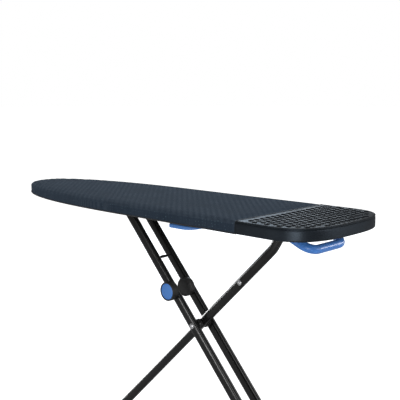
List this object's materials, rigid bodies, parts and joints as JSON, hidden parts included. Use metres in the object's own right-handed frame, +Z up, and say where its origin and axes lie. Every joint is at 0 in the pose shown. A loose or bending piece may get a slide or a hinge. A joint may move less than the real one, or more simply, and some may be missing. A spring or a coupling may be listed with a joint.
{
  "type": "folding ironing board",
  "caption": "Folding ironing board with a padded cover, a studded silicone iron rest, a carry handle, a squeeze release lever and coupled X-frame legs with a round push button.",
  "frame": {"origin": "on the floor, under the middle of the board", "axes": "+X along the board towards the iron rest and carry handle, -X towards the nose, +Z up, -Y is the side the release lever and the push button face"},
  "size_m": [1.295, 0.376, 0.9],
  "materials": {
    "cover_fabric": "woven navy cotton with a fine pin-dot print",
    "rest_silicone": "satin charcoal silicone with raised studs",
    "pad_felt": "needled grey felt",
    "deck_steel": "semi-gloss black enamel on expanded and folded sheet",
    "zinc_steel": "bright zinc plate",
    "chrome": "polished chrome plate",
    "leg_enamel": "semi-gloss black powder coat",
    "hub_plastic": "black moulded nylon, fine grain",
    "blue_plastic": "mid blue moulded plastic, satin",
    "foot_rubber": "black rubber"
  },
  "bodies": {
    "board": {"board_cover": "cover_fabric", "iron_rest": "rest_silicone", "felt_pad": "pad_felt", "deck_plate": "deck_steel", "edge_band": "deck_steel", "deck_spine": "deck_steel", "tail_plate": "deck_steel", "cross_brace_1": "deck_steel", "cross_brace_2": "deck_steel", "near_rail": "zinc_steel", "far_rail": "zinc_steel", "tail_hinge_bracket": "deck_steel", "tail_hinge_pin": "chrome", "carry_handle": "blue_plastic", "handle_screw_near_1": "zinc_steel", "handle_screw_near_2": "zinc_steel", "handle_screw_far_1": "zinc_steel", "handle_screw_far_2": "zinc_steel", "rod_bearing_1": "deck_steel", "rod_bearing_2": "deck_steel", "rod_bearing_3": "deck_steel", "lever_spring": "zinc_steel"},
    "release": {"release_rod": "zinc_steel", "release_lever": "blue_plastic", "catch_strip": "zinc_steel", "catch_arm_1": "zinc_steel", "catch_arm_2": "zinc_steel"},
    "tail_leg": {"tail_leg_tube": "leg_enamel", "tail_leg_rivet": "chrome", "tail_foot_bar": "leg_enamel", "tail_foot_cap_near": "foot_rubber", "tail_foot_cap_far": "foot_rubber"},
    "pair_legs": {"near_leg_tube": "leg_enamel", "far_leg_tube": "leg_enamel", "pivot_axle": "chrome", "near_spacer": "leg_enamel", "far_spacer": "leg_enamel", "leg_brace": "leg_enamel", "near_hub_housing": "hub_plastic", "far_hub_housing": "hub_plastic", "far_hub_cap": "hub_plastic", "button_spring": "zinc_steel", "pair_foot_bar": "leg_enamel", "pair_foot_cap_near": "foot_rubber", "pair_foot_cap_far": "foot_rubber"},
    "slide": {"slide_shaft": "zinc_steel", "near_shoe": "hub_plastic", "far_shoe": "hub_plastic"},
    "button": {"lock_button": "blue_plastic"}
  },
  "joints": [
    {"name": "tail_leg_fold", "type": "hinge", "parent": "board", "child": "tail_leg", "pos_m": [0.4457, 0, 0.866], "axis": [0, 1, 0], "range_deg": [0, 43]},
    {"name": "legs_cross", "type": "hinge", "parent": "tail_leg", "child": "pair_legs", "pos_m": [0.1439, 0, 0.5372], "axis": [0, 1, 0], "range_deg": [-86, 0]},
    {"name": "slide_shaft_turn", "type": "hinge", "parent": "pair_legs", "child": "slide", "pos_m": [-0.1579, 0, 0.866], "axis": [0, 1, 0], "range_deg": [0, 43]},
    {"name": "lever_squeeze", "type": "hinge", "parent": "board", "child": "release", "pos_m": [0.2995, 0, 0.8785], "axis": [-1, 0, 0], "range_deg": [0, 4], "stiffness_Nm_per_rad": 2, "springref_deg": -5.73},
    {"name": "button_push", "type": "slide", "parent": "pair_legs", "child": "button", "axis": [0, 1, 0], "range_m": [0, 0.004], "stiffness_N_per_m": 700, "springref_m": -0.002, "deforming": ["button_spring"]}
  ],
  "couplings": [
    {"joint": "legs_cross", "follows": "tail_leg_fold", "ratio": -2},
    {"joint": "slide_shaft_turn", "follows": "tail_leg_fold", "ratio": 1}
  ]
}
